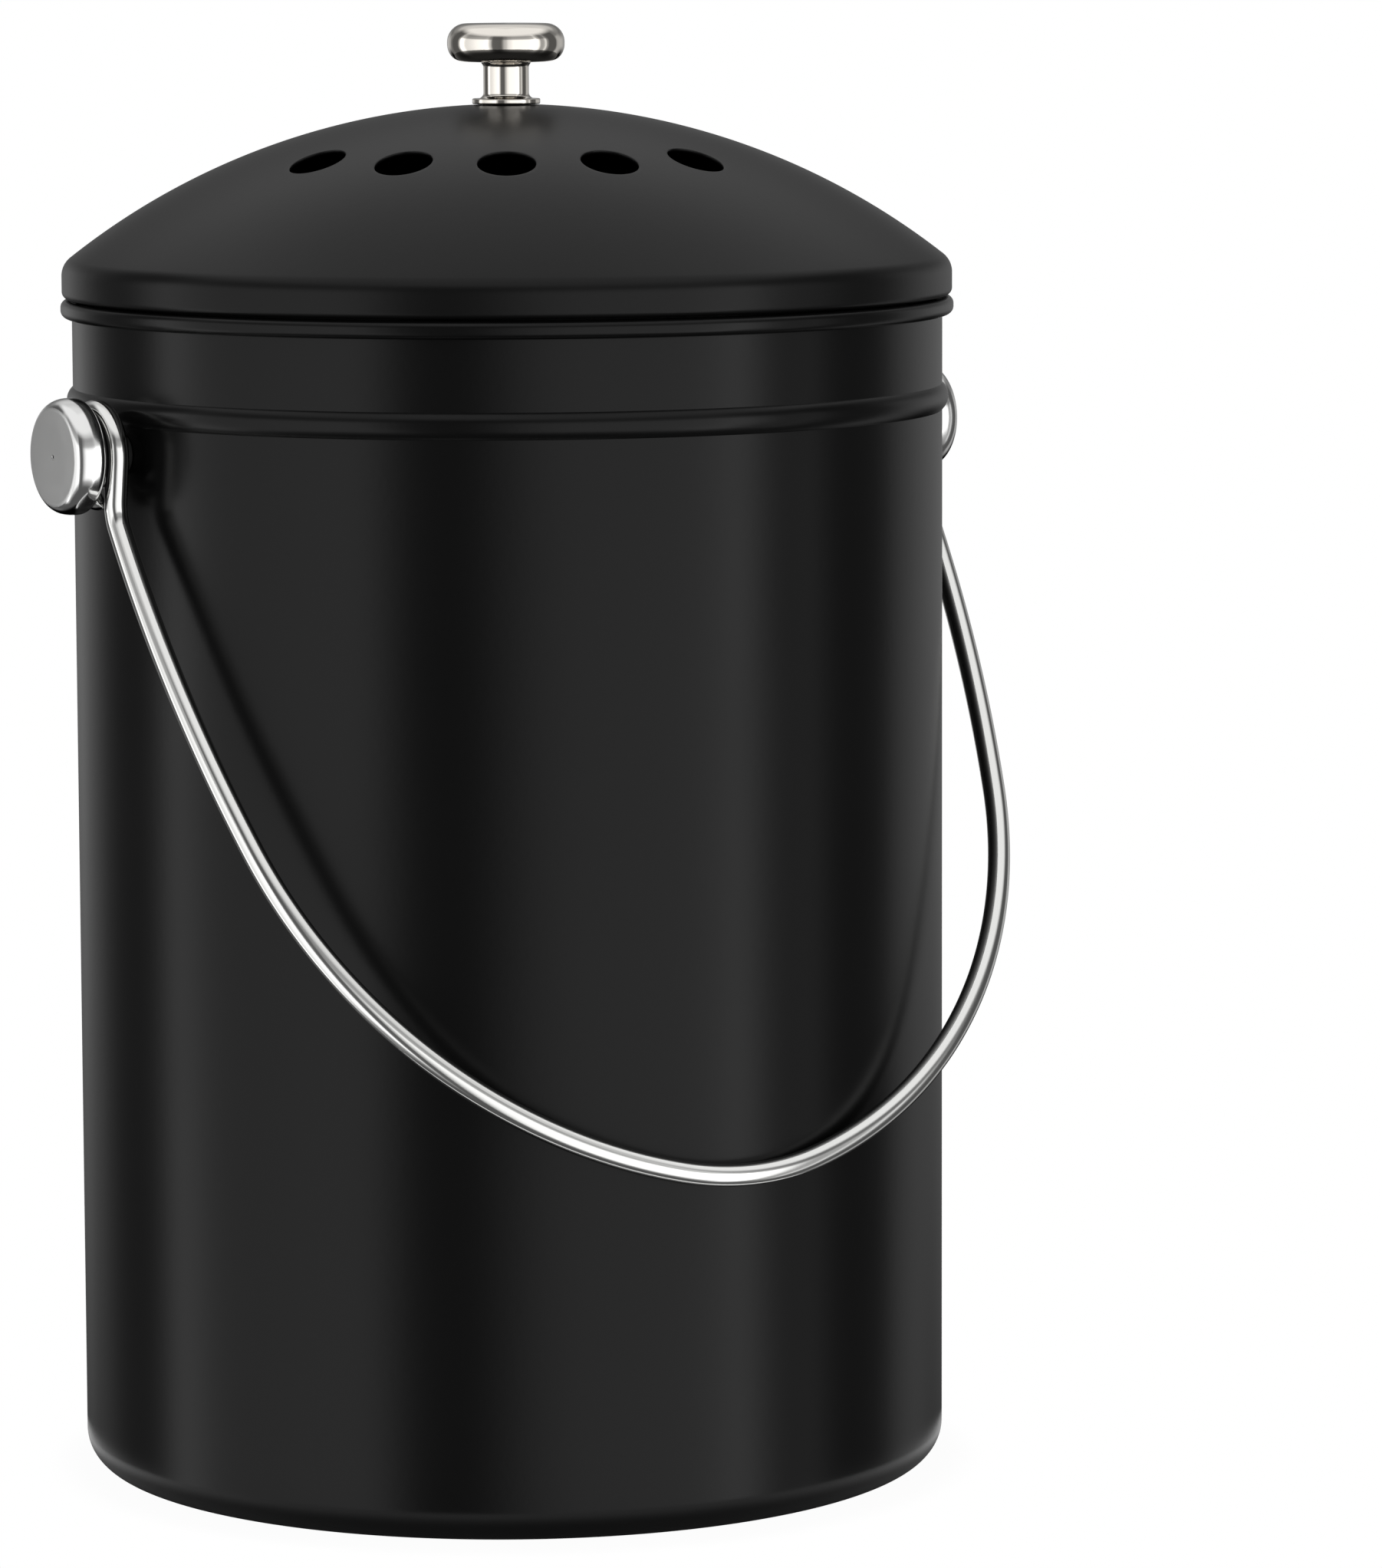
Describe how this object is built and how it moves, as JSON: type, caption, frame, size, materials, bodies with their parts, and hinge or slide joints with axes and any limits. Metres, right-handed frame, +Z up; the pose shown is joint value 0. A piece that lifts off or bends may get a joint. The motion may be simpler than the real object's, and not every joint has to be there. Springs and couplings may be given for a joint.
{
  "type": "compost caddy",
  "caption": "Countertop compost caddy: a black steel cylinder with a rolled rim, a lift-off vented domed lid holding a charcoal filter, a mushroom knob and a swinging round wire bail.",
  "frame": {"origin": "centre of the flat base on the bin's axis, on the plane the bin stands on", "axes": "+Z up along the bin's axis; X along the bail's pivot axis; the stored bail hangs towards -Y, the front"},
  "size_m": [0.2098, 0.1852, 0.2965],
  "materials": {
    "bin_powder_coat": "satin black powder coat",
    "lid_powder_coat": "satin black powder coat",
    "collar_enamel": "semi-gloss black",
    "filter_felt": "matt black carbon felt",
    "bail_wire": "bright drawn wire",
    "turned_metal": "turned, satin nickel",
    "black_nylon": "matt",
    "zinc_steel": "zinc plated"
  },
  "bodies": {
    "bin": {"bin_body": "bin_powder_coat", "spacer_left": "black_nylon", "spacer_right": "black_nylon", "thrust_washer_left": "black_nylon", "thrust_washer_right": "black_nylon", "pivot_stud_left": "turned_metal", "pivot_stud_right": "turned_metal", "backing_washer_left": "zinc_steel", "backing_washer_right": "zinc_steel", "pivot_screw_left": "zinc_steel", "pivot_screw_right": "zinc_steel"},
    "bail": {"bail_handle": "bail_wire"},
    "lid": {"lid_dome": "lid_powder_coat", "lid_collar": "collar_enamel", "charcoal_filter": "filter_felt", "knob": "turned_metal", "knob_washer": "zinc_steel", "knob_lock_washer": "zinc_steel", "knob_screw": "zinc_steel"}
  },
  "joints": [
    {"name": "bail_swing", "type": "hinge", "parent": "bin", "child": "bail", "pos_m": [0, 0, 0.2124], "axis": [-1, 0, 0], "range_deg": [0, 293]},
    {"name": "lid_lift", "type": "slide", "parent": "bin", "child": "lid", "axis": [0, 0, 1], "range_m": [0, 0.08]}
  ]
}
